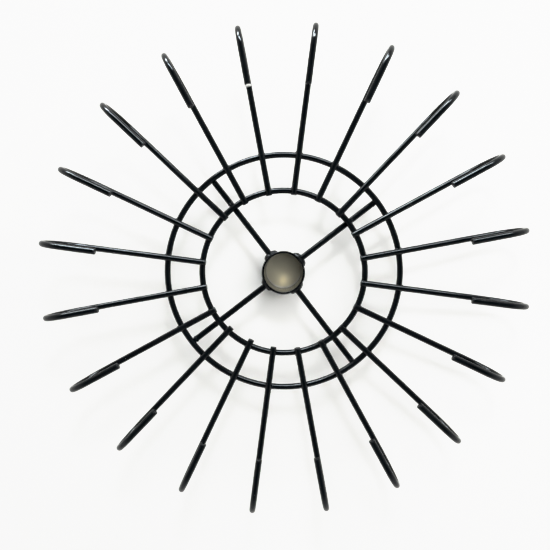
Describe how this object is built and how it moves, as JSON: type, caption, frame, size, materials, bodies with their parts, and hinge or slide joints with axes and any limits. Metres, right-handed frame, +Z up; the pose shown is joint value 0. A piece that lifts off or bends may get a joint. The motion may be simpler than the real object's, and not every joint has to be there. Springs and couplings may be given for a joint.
{
  "type": "radial wire hook rack",
  "caption": "Radial welded-wire hook rack: a short centre tube carries spokes and two concentric rings, with long straight hooks radiating out and bent up and back at their tips.",
  "frame": {"origin": "centre of the lower end of the centre tube", "axes": "+Z up along the tube's axis; +X out along hook_01"},
  "size_m": [0.4656, 0.4656, 0.1092],
  "materials": {
    "tube": "gloss black paint on steel tube",
    "wire": "gloss black paint on steel wire",
    "weld": "gloss black paint over a weld bead"
  },
  "bodies": {
    "root": {"centre_tube": "tube", "spoke_1": "wire", "spoke_2": "wire", "spoke_3": "wire", "spoke_4": "wire", "tube_weld_1": "weld", "tube_weld_2": "weld", "tube_weld_3": "weld", "tube_weld_4": "weld", "inner_ring": "wire", "outer_ring": "wire", "hook_01": "wire", "hook_02": "wire", "hook_03": "wire", "hook_04": "wire", "hook_05": "wire", "hook_06": "wire", "hook_07": "wire", "hook_08": "wire", "hook_09": "wire", "hook_10": "wire", "hook_11": "wire", "hook_12": "wire", "hook_13": "wire", "hook_14": "wire", "hook_15": "wire", "hook_16": "wire", "hook_17": "wire", "hook_18": "wire", "hook_19": "wire", "hook_20": "wire"}
  },
  "joints": []
}
